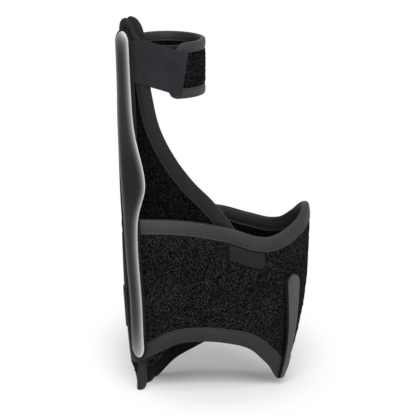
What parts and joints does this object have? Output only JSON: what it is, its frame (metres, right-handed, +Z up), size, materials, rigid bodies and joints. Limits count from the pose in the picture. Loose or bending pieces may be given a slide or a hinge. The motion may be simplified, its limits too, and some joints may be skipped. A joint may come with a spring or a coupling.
{
  "type": "ankle foot orthosis",
  "caption": "Soft ankle foot orthosis: a pile-faced foot wrap and leg panel with bound edges, a glossy side stay, a calf band with strap, a heel strap and a front tab.",
  "frame": {"origin": "middle of the object's box, on the floor it stands on", "axes": "+X to the toes, +Y away from the stay's side, +Z up the leg"},
  "size_m": [0.1804, 0.1014, 0.345],
  "materials": {
    "pile": "brushed loop pile",
    "lining": "knitted lining",
    "binding": "smooth stretch binding",
    "strap": "smooth laminated webbing",
    "hook": "hook tape",
    "stay": "glossy moulded",
    "carrier": "padded sleeve",
    "tab": "satin moulded",
    "label": "woven satin, blank"
  },
  "bodies": {
    "orthosis": {"foot_wrap": "pile", "wrap_lining": "lining", "wrap_top_binding": "binding", "wrap_near_hem": "binding", "wrap_far_hem": "binding", "leg_panel": "pile", "leg_panel_binding": "binding", "leg_liner": "lining", "stay_rail": "stay", "stay_carrier": "carrier", "carrier_hook_upper": "hook", "carrier_hook_lower": "hook", "calf_band_patch": "binding", "calf_strap_root": "strap", "heel_strap_root": "strap", "front_tab_root": "tab", "label_tab": "label"},
    "calf_band": {"calf_band": "pile", "calf_band_lining": "lining", "calf_band_top_binding": "binding", "calf_band_low_binding": "binding"},
    "calf_strap": {"calf_strap": "strap", "calf_strap_hook": "hook"},
    "heel_strap": {"heel_strap": "strap", "heel_strap_hook": "hook"},
    "front_tab": {"front_tab": "tab", "front_tab_hook": "hook"}
  },
  "joints": [
    {"name": "calf_strap_peel", "type": "hinge", "parent": "orthosis", "child": "calf_strap", "pos_m": [-0.06435, -0.04145, 0.3083], "axis": [0, 0, -1], "range_deg": [0, 85]},
    {"name": "calf_band_swing", "type": "hinge", "parent": "orthosis", "child": "calf_band", "pos_m": [-0.07168, -0.00739, 0.3193], "axis": [0, 0, 1], "range_deg": [0, 50]},
    {"name": "heel_strap_peel", "type": "hinge", "parent": "orthosis", "child": "heel_strap", "pos_m": [-0.08222, -0.02124, 0.0783], "axis": [-0.0626, -0.0145, 0.9979], "range_deg": [0, 80]},
    {"name": "front_tab_peel", "type": "hinge", "parent": "orthosis", "child": "front_tab", "pos_m": [0.06615, -0.01957, 0.0173], "axis": [0.5668, 0.8238, 0], "range_deg": [0, 70]}
  ]
}
